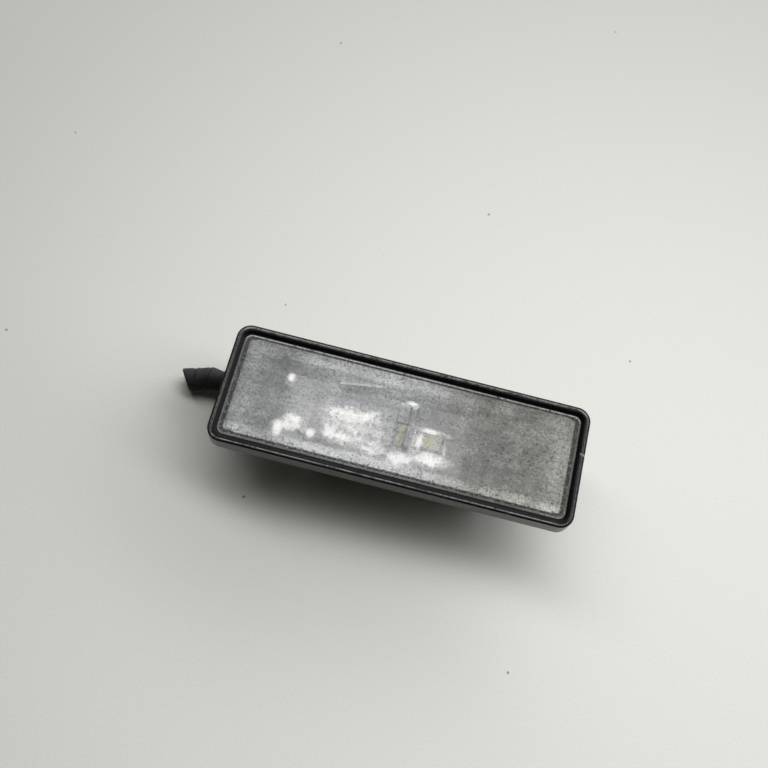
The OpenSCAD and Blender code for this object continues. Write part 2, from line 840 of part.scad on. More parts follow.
module contact_minus() {
    contact(-1);
}

// Wire between a contact and the plug's rear face
module wire(side, tint) {
    color(tint) translate([plug_rear, side * pin_pitch / 2, socket_z]) rotate([0, 90, 0])
        cylinder(h = contact_x0 - plug_rear, r = wire_d / 2);
}

module wire_plus() {
    wire(1, "#8c2a24");
}

module wire_minus() {
    wire(-1, "#2a2018");
}

// Silicone sleeve that seals a wire in the plug
module wire_seal(side) {
    color("#3d6f94") translate([contact_x0 - wire_seal_l, side * pin_pitch / 2, socket_z]) rotate([0, 90, 0])
        difference() {
            cylinder(h = wire_seal_l - fit, r = wire_seal_r);
            translate([0, 0, -sink]) cylinder(h = wire_seal_l + sink, r = wire_d / 2 + fit / 2);
        }
}

module wire_seal_plus() {
    wire_seal(1);
}

module wire_seal_minus() {
    wire_seal(-1);
}

// Unit vector along the route at point i
function heading(path, i) =
    let (a = path[max(i - 1, 0)], b = path[min(i + 1, len(path) - 1)])
    (b - a) / norm(b - a);

// Ring of points round point i of the route, its near side set back by cut
function ring(path, i, r, sides, cut) =
    let (t = heading(path, i), s = cross([0, 0, 1], t) / norm(cross([0, 0, 1], t)), u = cross(t, s))
    [for (k = [0:sides - 1]) let (a = 360 * k / sides)
        path[i] + r * cos(a) * s + r * sin(a) * u - cut * cos(a) * t];

// Tube swept along the route, with a slanted cut at its far end
module tube(path, d, sides, cut) {
    n = len(path);
    points = [for (i = [0:n - 1]) each ring(path, i, d / 2, sides, i == n - 1 ? cut : 0)];
    skin = [for (i = [0:n - 2], k = [0:sides - 1])
        let (a = i * sides, b = (i + 1) * sides, m = (k + 1) % sides) [a + k, a + m, b + m, b + k]];
    first = [for (k = [0:sides - 1]) sides - 1 - k];
    last = [for (k = [0:sides - 1]) (n - 1) * sides + k];
    polyhedron(points, concat(skin, [first, last]), convexity = 4);
}

module taped_lead() {
    color("#17181a") translate([plug_rear, 0, 0]) tube(lead_path, lead_d, lead_sides, lead_cut);
}

housing();
lens();
reflector();
circuit_board();
led_main_package();
led_main_phosphor();
led_side_package();
led_side_phosphor();
resistor_1();
resistor_2();
resistor_3();
protection_diode();
capacitor();
pin_plus();
pin_minus();
solder_plus();
solder_minus();
gasket();
spring_clip();
vent_membrane();
plug_body();
plug_seal();
contact_plus();
contact_minus();
wire_plus();
wire_minus();
wire_seal_plus();
wire_seal_minus();
taped_lead();
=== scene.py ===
"""Dresses the number plate lamp: finishes for its pieces, the taped lead, and a plain studio.

Numbers are in millimetres unless their name or docstring says otherwise. X runs along the lamp
away from the lead, Y across it and Z out of the lens, so g.x.ramp(8.0, 18.0) in a finish rises
from 8 to 18 mm on the right of the lamp's middle.
"""
import logging
import math
import random
from dataclasses import dataclass, field
from enum import Enum

import bmesh
import bpy
from mathutils import Euler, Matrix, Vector


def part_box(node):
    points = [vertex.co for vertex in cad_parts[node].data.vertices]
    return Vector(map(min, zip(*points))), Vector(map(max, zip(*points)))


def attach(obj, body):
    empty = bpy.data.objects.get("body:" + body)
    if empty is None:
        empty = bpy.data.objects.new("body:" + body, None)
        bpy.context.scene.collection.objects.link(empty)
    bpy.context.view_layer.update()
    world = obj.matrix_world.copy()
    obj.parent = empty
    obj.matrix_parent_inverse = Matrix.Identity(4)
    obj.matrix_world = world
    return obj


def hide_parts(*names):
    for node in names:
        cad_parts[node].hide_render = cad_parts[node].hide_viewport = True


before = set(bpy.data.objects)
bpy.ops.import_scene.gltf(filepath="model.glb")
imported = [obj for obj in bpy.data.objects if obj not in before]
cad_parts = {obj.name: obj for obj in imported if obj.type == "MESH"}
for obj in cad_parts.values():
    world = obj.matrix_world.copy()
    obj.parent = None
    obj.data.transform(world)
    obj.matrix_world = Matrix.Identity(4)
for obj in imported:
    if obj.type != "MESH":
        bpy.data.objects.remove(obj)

LOG = logging.getLogger("lamp")
MM = 0.001
BODY = "root"
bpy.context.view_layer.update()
LEAD_DIAMETER = 4.6
TAPE_PITCH = 3.1

Colour = tuple[float, float, float]


def mm(*numbers: float) -> Vector:
    """A point given in millimetres, in metres."""
    return Vector(numbers) * MM


class Value:
    """A number that a material works out, which takes Python's operators."""

    def __init__(self, graph: "Graph", socket: bpy.types.NodeSocket) -> None:
        """Keeps the socket and the graph that new Math nodes go into."""
        self.graph = graph
        self.socket = socket

    def math(self, operation: str, *others: "Number") -> "Value":
        """One Math node on this number and the others, in order."""
        return self.graph.math(operation, self, *others)

    def __add__(self, other: "Number") -> "Value":
        """This number plus other."""
        return self.math("ADD", other)

    def __sub__(self, other: "Number") -> "Value":
        """This number minus other."""
        return self.math("SUBTRACT", other)

    def __mul__(self, other: "Number") -> "Value":
        """This number times other."""
        return self.math("MULTIPLY", other)

    def __truediv__(self, other: "Number") -> "Value":
        """This number over other."""
        return self.math("DIVIDE", other)

    def __radd__(self, other: float) -> "Value":
        """Other plus this number."""
        return self.graph.math("ADD", other, self)

    def __rsub__(self, other: float) -> "Value":
        """Other minus this number."""
        return self.graph.math("SUBTRACT", other, self)

    def __abs__(self) -> "Value":
        """This number without its sign."""
        return self.math("ABSOLUTE")

    def least(self, other: "Number") -> "Value":
        """The smaller of this number and other."""
        return self.math("MINIMUM", other)

    def most(self, other: "Number") -> "Value":
        """The larger of this number and other."""
        return self.math("MAXIMUM", other)

    def length_with(self, other: "Value") -> "Value":
        """The length of a flat vector made of this number and other."""
        return (self * self + other * other).math("SQRT")

    def ramp(self, low: float, high: float) -> "Value":
        """A smooth step that rises from 0 at low to 1 at high, or falls where high is smaller."""
        start, end = (0.0, 1.0) if low < high else (1.0, 0.0)
        step = self.graph.node("ShaderNodeMapRange", {"interpolation_type": "SMOOTHSTEP"}, {
            "Value": self, "From Min": min(low, high), "From Max": max(low, high),
            "To Min": start, "To Max": end})
        return Value(self.graph, step.outputs["Result"])


Number = Value | float


class Graph:
    """The nodes of one material, around its Principled shader."""

    def __init__(self, name: str) -> None:
        """Starts an empty material with object coordinates in millimetres."""
        self.material = bpy.data.materials.new(name)
        self.material.use_nodes = True
        self.tree = self.material.node_tree
        self.tree.nodes.clear()
        coords = self.node("ShaderNodeTexCoord", {}, {})
        scaled = self.node("ShaderNodeMapping", {}, {
            "Vector": coords.outputs["Object"], "Scale": (1 / MM,) * 3})
        self.place = scaled.outputs["Vector"]
        self.uv = coords.outputs["UV"]
        self.x, self.y, self.z = self.split(self.place)

    def node(self, kind: str, settings: dict[str, object],
             inputs: dict[str | int, object]) -> bpy.types.Node:
        """Adds one node.

        Args:
            kind: The node's type.
            settings: Its settings, set first.
            inputs: A value, a Value or a socket for each named or numbered input.

        Returns:
            The node.
        """
        made = self.tree.nodes.new(kind)
        for key, value in settings.items():
            setattr(made, key, value)
        for key, value in inputs.items():
            source = value.socket if isinstance(value, Value) else value
            if isinstance(source, bpy.types.NodeSocket):
                self.tree.links.new(source, made.inputs[key])
            else:
                made.inputs[key].default_value = source
        return made

    def math(self, operation: str, *numbers: Number) -> Value:
        """One Math node on the numbers given, in order."""
        made = self.node("ShaderNodeMath", {"operation": operation}, dict(enumerate(numbers)))
        return Value(self, made.outputs[0])

    def split(self, vector: bpy.types.NodeSocket) -> tuple[Value, Value, Value]:
        """The three numbers of a vector."""
        made = self.node("ShaderNodeSeparateXYZ", {}, {0: vector})
        return tuple(Value(self, made.outputs[i]) for i in range(3))

    def moved(self, stretch: tuple[float, float, float], turn: float = 0.0) -> bpy.types.NodeSocket:
        """The place turned about Z by turn radians and stretched, for a pattern."""
        made = self.node("ShaderNodeMapping", {}, {
            "Vector": self.place, "Scale": stretch, "Rotation": (0, 0, turn)})
        return made.outputs["Vector"]

    def noise(self, scale: float, detail: float = 2.0, rough: float = 0.5,
              at: bpy.types.NodeSocket | None = None) -> Value:
        """Soft noise, scale waves to the millimetre."""
        made = self.node("ShaderNodeTexNoise", {}, {
            "Vector": at or self.place, "Scale": scale, "Detail": detail, "Roughness": rough})
        return Value(self, made.outputs["Fac"])

    def mix(self, factor: Number, first: "Colour | bpy.types.NodeSocket",
            second: "Colour | bpy.types.NodeSocket") -> bpy.types.NodeSocket:
        """Blends the first colour into the second by factor."""
        pair = [c if isinstance(c, bpy.types.NodeSocket) else (*c, 1.0) for c in (first, second)]
        made = self.node("ShaderNodeMix", {"data_type": "RGBA"},
                         {0: factor, 6: pair[0], 7: pair[1]})
        return made.outputs[2]

    def bump(self, height: Value, depth: float) -> bpy.types.NodeSocket:
        """A normal bent by height, which stands for depth millimetres."""
        inputs = {"Height": height, "Distance": depth * MM, "Strength": 1.0}
        return self.node("ShaderNodeBump", {}, inputs).outputs["Normal"]

    def finish(self, **sockets: object) -> bpy.types.Material:
        """Adds the shader.

        Args:
            sockets: The Principled shader's inputs, with _ for a space.

        Returns:
            The material.
        """
        inputs = {}
        for key, value in sockets.items():
            colour = isinstance(value, tuple) and len(value) == 3
            inputs[key.replace("_", " ")] = (*value, 1.0) if colour else value
        shader = self.node("ShaderNodeBsdfPrincipled", {}, inputs)
        self.node("ShaderNodeOutputMaterial", {}, {"Surface": shader.outputs["BSDF"]})
        return self.material


@dataclass(frozen=True)
class RimShape:
    """Where the frame's rim and the lens lie, in millimetres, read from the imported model."""

    half_l: float
    half_w: float
    top: float
    lens_l: float
    lens_w: float
    lens_top: float
    corner: float = 3.0
    lens_corner: float = 1.6

    @classmethod
    def from_frame(cls) -> "RimShape":
        """Reads the sizes from the housing's and the lens's boxes."""
        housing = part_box("housing")[1] / MM
        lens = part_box("lens")[1] / MM
        return cls(housing.x, housing.y, housing.z, lens.x, lens.y, lens.z)

    def from_rim(self, graph: Graph) -> Value:
        """Distance inwards from the frame's outline."""
        return self.inwards(graph, self.half_l, self.half_w, self.corner)

    def from_lens_edge(self, graph: Graph) -> Value:
        """Distance inwards from the lens's outline."""
        return self.inwards(graph, self.lens_l, self.lens_w, self.lens_corner)

    @staticmethod
    def inwards(graph: Graph, half_l: float, half_w: float, corner: float) -> Value:
        """Distance inwards from a rounded rectangle.

        Args:
            graph: The material that asks.
            half_l: Half its length.
            half_w: Half its width.
            corner: Its corners' radius.

        Returns:
            The distance, below 0 outside.
        """
        over_x = abs(graph.x) - (half_l - corner)
        over_y = abs(graph.y) - (half_w - corner)
        out = over_x.most(0.0).length_with(over_y.most(0.0))
        return corner - out - over_x.most(over_y).least(0.0)


@dataclass(frozen=True)
class BlackMoulding:
    """Fine-grained black plastic, with painted reflections, painted shade and a painted highlight.

    Its flat top is greyer, a painted reflection of the lights, and its outer wall is paler towards
    the near side, a painted reflection of the floor. The upper inner flank of the rim is painted
    near-black, a painted shade. A pale line along the flat top's inner edge, strongest on the near
    side, is a painted highlight. Fine rubbed hair lines and a scuff across the right end are marks
    of use, and pale marks lie here and there on the outer edge. Dust, specks and pits lie over it
    too, and all these tones lie over the plain colour.
    """

    name: str = "black_moulding"
    colour: Colour = (0.0065, 0.0065, 0.0068)
    top: Colour = (0.03, 0.03, 0.031)
    wall: Colour = (0.15, 0.15, 0.147)
    # Paler tone of the painted highlight and of the rubbed marks and scuff.
    paler_tone: Colour = (0.32, 0.32, 0.32)
    dust: Colour = (0.14, 0.138, 0.13)
    # Near-black of the grain's dark pits and of the painted shade on the rim's upper inner flank.
    pits_and_flank_shade: Colour = (0.001, 0.001, 0.001)
    rough: float = 0.42
    grain: float = 0.014
    # Share of the wall's painted floor reflection that is left on the far side.
    far_wall_share: float = 0.15
    scuff_x: float = 37.5
    scuff_y: float = 3.0

    def material(self, rim: RimShape) -> bpy.types.Material:
        """Builds the finish.

        Args:
            rim: The shape of the frame's rim.

        Returns:
            The material.
        """
        g = Graph(self.name)
        edge = rim.from_rim(g)
        upper = g.z.ramp(rim.top - 0.5, rim.top - 0.1)
        flat = self.flat_top(g, edge, rim.top)
        wall = self.outer_wall(g, edge, rim.top)
        patchy = g.noise(0.9, 4.0, 0.7)
        wear_and_highlight = self.wear_and_highlight(g, edge) * upper * patchy.ramp(0.35, 0.6)
        specks = g.noise(2.0, 4.0, 0.8).ramp(0.6, 0.72)
        lines = g.noise(1.0, 3.0, 0.7, self.along_rim(g, edge)).ramp(0.5, 0.62)
        grain = g.noise(3.2, 3.0, 0.8)
        # Painted reflection: the flat top is greyer, standing in for the lights mirrored in it.
        base = g.mix(flat * (0.7 + patchy * 0.6), self.colour, self.top)
        # Painted reflection: the outer wall is paler, most on the near side, standing in for the
        # floor mirrored in it.
        base = g.mix(wall * (0.6 + patchy * 0.8), base, self.wall)
        base = g.mix(lines * upper * edge.ramp(1.3, 1.1) * 0.12, base, self.dust)
        base = g.mix((specks * 0.2).most(flat * grain.ramp(0.54, 0.66) * 0.55), base, self.dust)
        base = g.mix(flat * grain.ramp(0.47, 0.38) * 0.8, base, self.pits_and_flank_shade)
        # Painted shade: the rim's upper inner flank is painted near-black.
        base = g.mix(edge.ramp(1.2, 1.5) * upper, base, self.pits_and_flank_shade)
        # Painted highlight along the flat top's inner edge, with the rubbed marks and the scuff, in
        # the paler tone.
        base = g.mix(wear_and_highlight.most(self.scuff(g) * upper), base, self.paler_tone)
        far = g.y.ramp(8.0, 12.0)
        shine = flat * (0.45 + far * 0.4) * (0.7 + patchy * 0.6) * grain.ramp(0.36, 0.5) + wall
        return g.finish(
            Base_Color=base,
            Roughness=self.rough + g.noise(0.5, 3.0) * 0.16 - 0.08 + specks * 0.3,
            Specular_IOR_Level=0.035,
            Coat_Weight=shine, Coat_Roughness=0.4, Coat_IOR=1.5,
            Normal=g.bump(g.noise(6.0, 3.0, 0.6), self.grain),
        )

    @staticmethod
    def flat_top(g: Graph, edge: Value, top: float) -> Value:
        """The rim's flat top, a little narrower on the near side."""
        inner = (edge + g.y.ramp(-11.0, -12.0) * 0.3).ramp(1.05, 0.8)
        return g.z.ramp(top - 0.3, top - 0.08) * edge.ramp(0.3, 0.42) * inner

    def outer_wall(self, g: Graph, edge: Value, top: float) -> Value:
        """The outer wall below the rim, painted paler as a painted reflection of the floor; it
        grows darker towards the far side.
        """
        near = self.far_wall_share + g.y.ramp(6.0, -9.0) * (1 - self.far_wall_share)
        return edge.ramp(0.1, 0.02) * g.z.ramp(top - 0.2, top - 0.45) * near

    @staticmethod
    def along_rim(g: Graph, edge: Value) -> bpy.types.NodeSocket:
        """A place that is stretched along the rim, for lines that run with it."""
        return g.node("ShaderNodeCombineXYZ", {}, {0: edge * 5.0, 1: (g.x + g.y) * 0.15}).outputs[0]

    @staticmethod
    def wear_and_highlight(g: Graph, edge: Value) -> Value:
        """A pale painted highlight along the flat top's inner edge, strongest on the near side,
        with fine rubbed hair lines and, here and there, pale marks on its outer edge.
        """
        near = g.y.ramp(-11.0, -12.0)
        far = g.y.ramp(11.0, 12.0)
        # inner is the painted highlight along the flat top's inner edge, weighted to the near side
        # below.
        inner = edge.ramp(0.44, 0.5) * (edge + far * -0.25).ramp(0.64, 0.57)
        hair = g.noise(2.0, 3.0, 0.6, g.moved((0.12, 2.5, 1.0), 0.35)).ramp(0.62, 0.7)
        outer = edge.ramp(0.3, 0.1) * g.noise(0.4, 3.0, 0.7).ramp(0.6, 0.7)
        return (inner * (0.12 + near * 0.88 + far * 0.4)).most(hair * 0.2).most(outer * 0.3)

    def scuff(self, g: Graph) -> Value:
        """One pale mark across the rim at the right end."""
        over_x = g.x - self.scuff_x
        along = abs(g.y - self.scuff_y + over_x * 0.35)
        return along.ramp(0.32, 0.1) * abs(over_x).ramp(0.7, 0.4) * g.noise(4.0).ramp(0.35, 0.6)


@dataclass(frozen=True)
class PlainFinish:
    """A moulded, metal or rubber surface whose tone and gloss vary a little."""

    name: str
    colour: Colour
    second: Colour
    rough: float = 0.4
    metallic: float = 0.0
    grain: float = 0.01
    scale: float = 3.0
    stretch: tuple[float, float, float] = (1.0, 1.0, 1.0)

    def material(self) -> bpy.types.Material:
        """Builds the finish."""
        g = Graph(self.name)
        at = g.moved(self.stretch)
        tone = g.noise(self.scale * 0.2, 3.0, 0.6, at).ramp(0.35, 0.7)
        fine = g.noise(self.scale, 3.0, 0.6, at)
        return g.finish(
            Base_Color=g.mix(tone, self.colour, self.second),
            Roughness=self.rough + fine * 0.2 - 0.1,
            Metallic=self.metallic,
            Normal=g.bump(fine, self.grain),
        )


@dataclass(frozen=True)
class TwoTone:
    """A component whose body and metal ends part at a distance from its middle, or at a height."""

    name: str
    body: Colour
    metal: Colour
    centre: Vector
    part_at: float
    by_height: bool = False
    blend: float = 0.02

    def material(self) -> bpy.types.Material:
        """Builds the finish."""
        g = Graph(self.name)
        away = g.z - self.centre.z if self.by_height else abs(g.x - self.centre.x)
        is_metal = away.ramp(self.part_at - self.blend, self.part_at + self.blend)
        fine = g.noise(5.0, 3.0)
        return g.finish(
            Base_Color=g.mix(is_metal, self.body, self.metal),
            Metallic=is_metal * 0.9,
            Roughness=0.42 - is_metal * 0.12 + fine * 0.1,
            Normal=g.bump(fine, 0.008),
        )


@dataclass(frozen=True)
class Spot:
    """A place that catches the light: its middle, half sizes, strength and ragged edge."""

    x: float
    y: float
    half_x: float
    half_y: float
    strength: float
    ragged: float = 2.0

    def glow(self, g: Graph, wave: Value, start: float, full: float) -> Value:
        """How strongly the place catches the light.

        Args:
            g: The material that asks.
            wave: Noise that breaks up its edge.
            start: Share of its half sizes where it starts.
            full: Share of its half sizes inside which it is full.

        Returns:
            The strength, 0 outside.
        """
        across = (g.x - self.x) / self.half_x
        along = (g.y - self.y) / self.half_y
        far = across.length_with(along) + (wave - 0.5) * self.ragged
        return far.ramp(start, full) * self.strength


def strongest(values: list[Value]) -> Value:
    """The largest of the values at each place."""
    total = values[0]
    for value in values[1:]:
        total = total.most(value)
    return total


@dataclass(frozen=True)
class HazedLens:
    """Clear plastic with a weathered, dusty skin that is thickest at its border.

    The skin goes from haze to pale, or from warm to yellowed on the aged right half, and is
    white where it glares. side_cover is the skin on the lens's sides, glare_cover how much more
    a glaring place hides and glare_clean how much fainter the dirt is there.
    """

    name: str = "hazed_lens"
    haze: Colour = (0.29, 0.3, 0.305)
    warm: Colour = (0.275, 0.28, 0.255)
    pale: Colour = (0.78, 0.79, 0.8)
    yellowed: Colour = (0.78, 0.78, 0.72)
    white: Colour = (0.97, 0.97, 0.96)
    dirt: Colour = (0.012, 0.012, 0.012)
    rough: float = 0.36
    side_cover: float = 0.03
    glare_cover: float = 0.5
    glare_clean: float = 0.6
    # Depth of the right half's dark patch, partly dirt and partly painted shade of the moulded
    # lettering.
    smudge_and_shade_depth: float = 0.28
    glare: tuple[Spot, ...] = (
        Spot(-24.4, -7.1, 1.4, 2.0, 1.0, 0.4), Spot(-21.9, -6.1, 2.7, 1.3, 0.95, 0.5),
        Spot(-21.8, -4.9, 2.4, 1.7, 0.9, 0.7), Spot(-17.6, -6.6, 1.2, 1.2, 0.95, 0.4),
        Spot(-24.5, 4.0, 0.9, 1.2, 0.95, 0.2), Spot(-9.5, -0.5, 5.6, 1.7, 0.8, 1.4),
        Spot(-11.0, -5.7, 5.0, 2.2, 0.9, 1.2), Spot(-5.8, -7.0, 4.2, 2.0, 0.85, 1.2),
        Spot(-9.5, -3.2, 6.8, 4.4, 0.45, 0.9), Spot(0.9, 5.0, 1.3, 0.6, 0.95, 0.4),
        Spot(6.1, -0.1, 2.4, 0.7, 0.9, 0.4), Spot(4.2, -2.8, 1.0, 2.6, 0.9, 0.5),
        Spot(7.2, -5.9, 4.2, 1.6, 0.95, 0.9), Spot(1.5, -7.2, 3.4, 1.5, 0.8, 1.0),
    )

    def material(self, rim: RimShape) -> bpy.types.Material:
        """Builds the finish.

        Args:
            rim: The shape of the rim round the lens.

        Returns:
            The material, see-through by its alpha.
        """
        g = Graph(self.name)
        edge = rim.from_lens_edge(g)
        upper = g.z.ramp(rim.lens_top - 0.35, rim.lens_top - 0.2)
        fine = g.noise(1.6, 4.0, 0.8).ramp(0.4, 0.6)
        broken = g.noise(0.35, 6.0, 0.65).ramp(0.25, 0.65)
        glare = strongest([spot.glow(g, broken, 1.5, 0.1) for spot in self.glare])
        dirt = self.dirty(g, edge) * (1 - glare.ramp(0.3, 0.8) * self.glare_clean)
        frost = self.frost(g, edge)
        scratch = self.scratches(g)
        light, skin = self.veil(g, fine)
        skin = skin * (0.4 + edge.ramp(0.4, 1.1) * 0.6)
        cover = (skin + glare * self.glare_cover).most(frost).most(scratch * 0.6).most(dirt)
        return g.finish(
            Base_Color=self.tone(g, light.most(scratch).most(frost), glare, dirt),
            Alpha=cover * upper + (1 - upper) * self.side_cover,
            Roughness=self.rough + fine * 0.2,
            Specular_IOR_Level=0.1,
            Coat_Weight=(1 - dirt) * 0.8, Coat_Roughness=0.34, Coat_IOR=1.5,
            Normal=g.bump(fine * 0.6 + g.noise(5.0, 3.0, 0.6) * 0.4, 0.015),
            IOR=1.49,
        )

    @staticmethod
    def veil(g: Graph, fine: Value) -> tuple[Value, Value]:
        """The smooth part of the skin, thicker in bands along the lens and at its ends.

        Args:
            g: The material that asks.
            fine: Noise of the skin's finest grain.

        Returns:
            How pale the skin is, and how much it hides.
        """
        cloud = g.noise(0.14, 5.0, 0.62).ramp(0.36, 0.66)
        streak = g.noise(0.8, 5.0, 0.7, g.moved((0.2, 1.2, 1.0))).ramp(0.35, 0.68)
        bands = (g.y.ramp(6.6, 9.0) * 0.6).most(g.y.ramp(-8.0, -9.2))
        ends = abs(g.x).ramp(29.5, 33.0)
        middle = g.x.ramp(-27.0, -15.0) * g.x.ramp(14.0, 2.0)
        raised = (middle * g.y.ramp(2.5, 5.0) * 0.08
                  + g.x.ramp(14.0, 18.0) * g.y.ramp(-8.6, -9.4) * 0.05
                  - g.y.ramp(6.5, 9.0) * abs(g.x + 3.0).ramp(12.0, 24.0) * 0.08)
        light = (0.22 + cloud * 0.18 + streak * 0.16 + fine * 0.2
                 + bands * (0.16 + middle * 0.2) + ends * 0.08 + raised)
        skin = (0.24 + cloud * 0.1 + streak * 0.07 + fine * 0.07
                + ends * 0.12 + bands * (0.17 + middle * 0.12) + raised)
        return light, skin

    def tone(self, g: Graph, light: Value, glare: Value, dirt: Value) -> bpy.types.NodeSocket:
        """The skin's colour.

        Args:
            g: The material that asks.
            light: How pale the skin is.
            glare: How strongly it glares.
            dirt: How dirty it is.

        Returns:
            The colour, with a dark patch on the right half, partly dirt and partly painted shade of
            the moulded lettering.
        """
        aged = g.x.ramp(2.0, 18.0)
        thin = g.mix(aged, self.haze, self.warm)
        thick = g.mix(aged, self.pale, self.yellowed)
        clean = g.mix(glare.ramp(0.1, 0.7), g.mix(light, thin, thick), self.white)
        # A dark patch on the right half: partly dirt, partly painted shade of the moulded
        # lettering.
        cloud = g.noise(0.22, 5.0, 0.65).ramp(0.46, 0.6)
        smudge_and_shade = cloud * g.x.ramp(8.0, 18.0) * g.x.ramp(32.0, 29.0)
        return g.mix(dirt, g.mix(smudge_and_shade * self.smudge_and_shade_depth, clean, self.dirt), self.dirt)

    @staticmethod
    def frost(g: Graph, edge: Value) -> Value:
        """Frosting: a thin pale line, broken here and there, at the very edge."""
        line = edge.ramp(0.04, 0.12) * edge.ramp(0.4, 0.3)
        return line * g.noise(0.8, 3.0).ramp(0.26, 0.48) * (0.24 + g.y.ramp(9.5, 10.5) * 0.46)

    @staticmethod
    def dirty(g: Graph, edge: Value) -> Value:
        """Dark crumbs that thin out away from the edge, and a dark line beside the frosted one."""
        crumbs = g.noise(1.7, 4.0, 0.8)
        patch = g.noise(0.16, 4.0, 0.6).ramp(0.4, 0.58)
        ends = abs(g.x).ramp(33.0, 35.0)
        grit = g.noise(2.6, 4.0, 0.85).ramp(0.54, 0.61)
        field = crumbs.ramp(0.54, 0.61) * (0.42 + patch * 0.24 + g.x.ramp(12.0, 20.0) * 0.24)
        near = (crumbs + edge.ramp(2.6, 0.7) * 0.07).ramp(0.6, 0.64) * edge.ramp(3.4, 0.8)
        line = edge.ramp(0.32, 0.44) * (edge - ends * 0.4).ramp(1.05, 0.7)
        broken = (crumbs + line * 0.2).ramp(0.56, 0.68) * line
        near = near * (1 - g.y.ramp(6.0, 9.0) * 0.6)
        return field.most(grit * 0.82).most(near * 0.9).most(broken * 0.95).most(line * 0.5)

    @staticmethod
    def scratches(g: Graph) -> Value:
        """A few fine pale scratches: along the left border and across the right third."""
        wander = g.noise(0.3) * 0.5
        left = abs(g.x + 33.6 + wander - 0.25).ramp(0.16, 0.05) * abs(g.y + 4.2).ramp(4.2, 3.4)
        slant = g.x * 0.55 + g.y
        right = abs(slant - 21.3 + g.noise(0.25) * 1.2).ramp(0.12, 0.04) * g.x.ramp(24.0, 26.0)
        hair = g.noise(0.9, 2.0, 0.5, g.moved((0.05, 2.2, 1.0), 0.7)).ramp(0.66, 0.7)
        return (left * 0.5).most(right * 0.6).most(hair * 0.35)


@dataclass(frozen=True)
class ReflectorSkin:
    """Metallised plastic whose tones are all painted light and shade: painted shade at both ends, a
    painted lit left chamber, a dimmer right chamber and white painted highlights round its sources.

    The ledge on its far side runs from ledge_x, ledge_y to ledge_end at a slope of ledge_slope.
    """

    name: str = "reflector_skin"
    bright: Colour = (1.0, 1.0, 0.99)
    # Painted shade at both ends of the reflector.
    end_shade: Colour = (0.085, 0.087, 0.085)
    lit: Colour = (0.62, 0.63, 0.63)
    shaded: Colour = (0.54, 0.555, 0.57)
    plain: Colour = (0.34, 0.345, 0.34)
    ledge_x: float = -14.7
    ledge_y: float = 6.5
    ledge_end: float = -5.1
    ledge_slope: float = 0.167
    # Painted highlights: each spot is painted white where the reflector would catch the light.
    spots: tuple[Spot, ...] = (
        Spot(-25.1, -5.6, 1.3, 1.5, 1.0, 0.3), Spot(-18.4, -5.5, 1.4, 1.2, 1.0, 0.3),
        Spot(-22.1, -3.8, 2.3, 1.4, 0.95, 0.9), Spot(-25.0, 5.4, 1.0, 1.2, 1.0, 0.2),
        Spot(-15.4, -0.6, 3.8, 3.2, 0.6, 1.2), Spot(-10.3, 0.9, 5.2, 1.2, 0.9, 1.4),
        Spot(-9.3, -2.8, 6.6, 4.2, 0.6, 1.2), Spot(-9.0, -4.8, 5.6, 2.2, 1.0, 1.2),
        Spot(0.4, -6.0, 3.4, 1.5, 0.9), Spot(6.3, 1.6, 3.4, 0.7, 1.0, 0.3),
        Spot(3.4, -1.4, 0.8, 3.0, 1.0, 0.3), Spot(9.7, -2.2, 0.6, 2.0, 0.8, 0.4),
        Spot(6.6, -4.3, 4.4, 1.6, 1.0, 0.9), Spot(-0.2, 6.2, 1.0, 0.5, 1.0, 0.3),
        Spot(1.6, 5.7, 0.9, 0.8, 1.0, 0.3),
    )

    def material(self) -> bpy.types.Material:
        """Builds the finish."""
        g = Graph(self.name)
        chamber = g.x.ramp(-27.0, -22.0) * g.x.ramp(1.6, 1.2)
        right = g.x.ramp(1.2, 1.6) * g.x.ramp(19.0, 12.0)
        wave = g.noise(0.55, 4.0, 0.65)
        fine = g.noise(2.5, 3.0, 0.6)
        glow = strongest([spot.glow(g, wave, 1.5, 0.6) for spot in self.spots])
        ledge, line = self.ledge(g)
        # Painted shade beside the dividing wall, joined below to the painted shade in front of the
        # ledge.
        beside_wall = g.x.ramp(-3.6, -3.0) * g.x.ramp(-1.0, -1.4) * g.y.ramp(-6.0, -4.0)
        shade = ledge.most(beside_wall * 0.8)
        open_glow = glow * (1 - shade)
        # Painted light and shade: end_shade at both ends, a dimmer right chamber, a painted lit
        # left chamber and the painted shaded places.
        base = g.mix(right, self.end_shade, self.plain)
        base = g.mix(chamber * (0.6 + wave * 0.6), base, self.lit)
        base = g.mix(shade * (0.5 + wave * 0.7), base, self.shaded)
        return g.finish(
            # Painted highlights: the spots and the line along the ledge are painted white.
            Base_Color=g.mix(open_glow.most(line), base, self.bright),
            Roughness=0.4 - glow * 0.1 + fine * 0.1,
            Metallic=chamber * (1 - glow) * 0.3,
            Coat_Weight=open_glow, Coat_IOR=2.2, Coat_Roughness=0.2,
            Normal=g.bump(wave + fine * 0.1, 0.05),
        )

    def ledge(self, g: Graph) -> tuple[Value, Value]:
        """The far ledge.

        Args:
            g: The material that asks.

        Returns:
            The painted shade in front of it, and the painted highlight along it.
        """
        behind = g.y - self.ledge_y - (g.x - self.ledge_x) * self.ledge_slope
        starts = g.x.ramp(self.ledge_x - 0.6, self.ledge_x)
        reach = starts * g.x.ramp(self.ledge_end + 0.8, self.ledge_end)
        shade = reach * behind.ramp(-4.6, -4.0) * behind.ramp(0.1, -0.1)
        line = reach * behind.ramp(-0.05, 0.05) * behind.ramp(0.55, 0.4)
        return shade, line


